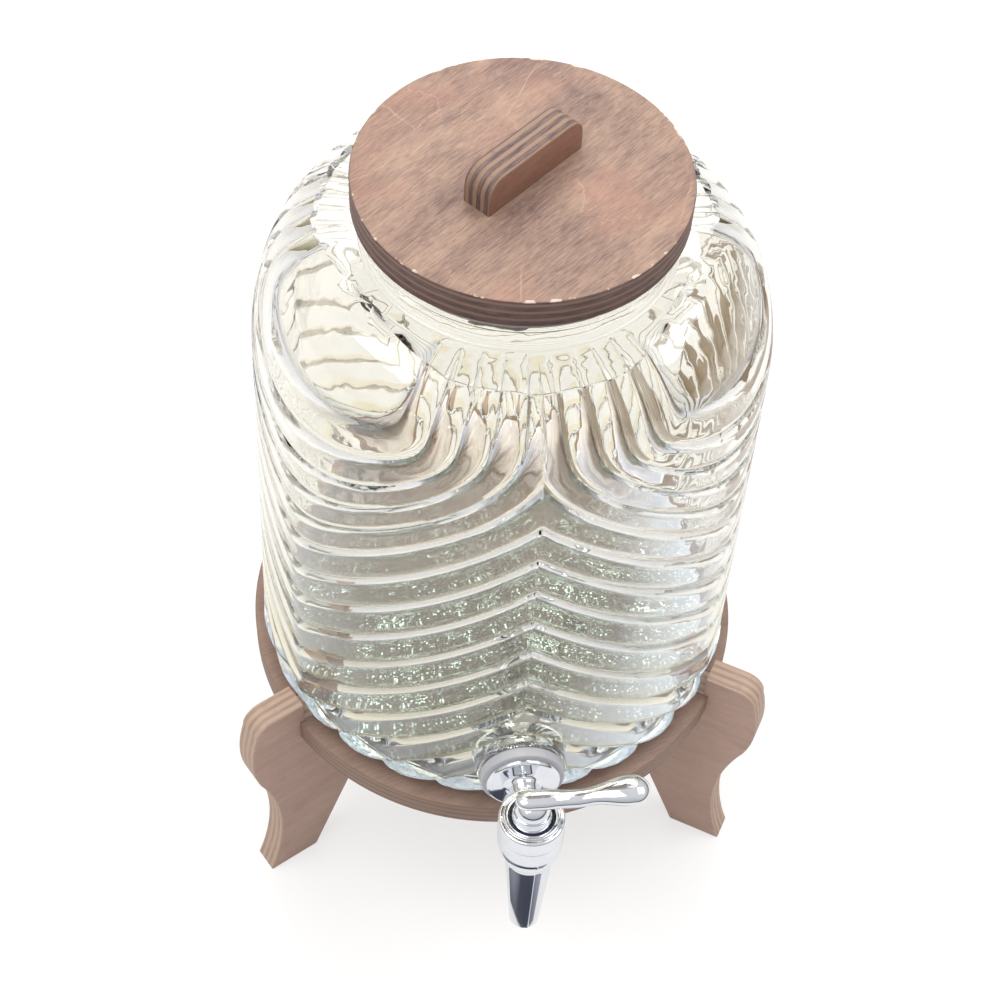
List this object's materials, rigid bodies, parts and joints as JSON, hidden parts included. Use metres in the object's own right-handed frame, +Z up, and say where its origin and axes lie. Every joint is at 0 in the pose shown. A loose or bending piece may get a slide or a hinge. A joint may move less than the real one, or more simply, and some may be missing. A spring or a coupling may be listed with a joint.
{
  "type": "glass dispenser jar with tap and stand",
  "caption": "Ribbed glass dispenser jar with a lever tap low on its wall, a loose plywood lid with a grip, and a three-legged plywood stand.",
  "frame": {"origin": "on the floor, on the axis of the jar, midway between the three feet", "axes": "+Z up along the jar's axis, -Y towards the tap at the front, +X to the right when seen from the front"},
  "size_m": [0.2308, 0.2806, 0.3915],
  "materials": {
    "plywood": "oiled, cut edges show the plies",
    "lid_plywood": "oiled, cut edges show the plies",
    "clear_glass": "pressed, clear",
    "tap_chrome": "polished",
    "clear_silicone": "translucent, matte",
    "white_nylon": "moulded",
    "valve_plastic": "moulded",
    "black_rubber": "matte",
    "screw_steel": "zinc plated"
  },
  "bodies": {
    "stand": {"stand_disc": "plywood", "leg_front_left": "plywood", "leg_front_right": "plywood", "leg_rear": "plywood"},
    "jar": {"glass_jar": "clear_glass", "tap_body": "tap_chrome", "tap_front_gasket": "clear_silicone", "tap_rear_gasket": "clear_silicone", "tap_slip_washer": "white_nylon", "tap_lock_nut": "white_nylon", "tap_bonnet": "tap_chrome"},
    "lever": {"tap_lever": "tap_chrome", "valve_plug": "valve_plastic", "valve_ring_upper": "black_rubber", "valve_ring_lower": "black_rubber"},
    "lid": {"lid_disc": "lid_plywood", "lid_inner_disc": "lid_plywood", "lid_seal": "clear_silicone", "lid_handle": "lid_plywood", "handle_screws": "screw_steel"}
  },
  "joints": [
    {"name": "jar_lift", "type": "slide", "parent": "stand", "child": "jar", "axis": [0, 0, 1], "range_m": [0, 0.2]},
    {"name": "lid_lift", "type": "slide", "parent": "jar", "child": "lid", "axis": [0, 0, 1], "range_m": [0, 0.12]},
    {"name": "tap_turn", "type": "hinge", "parent": "jar", "child": "lever", "pos_m": [0, -0.13688, 0.1507], "axis": [0, -0.0872, -0.9962], "range_deg": [0, 90]}
  ]
}
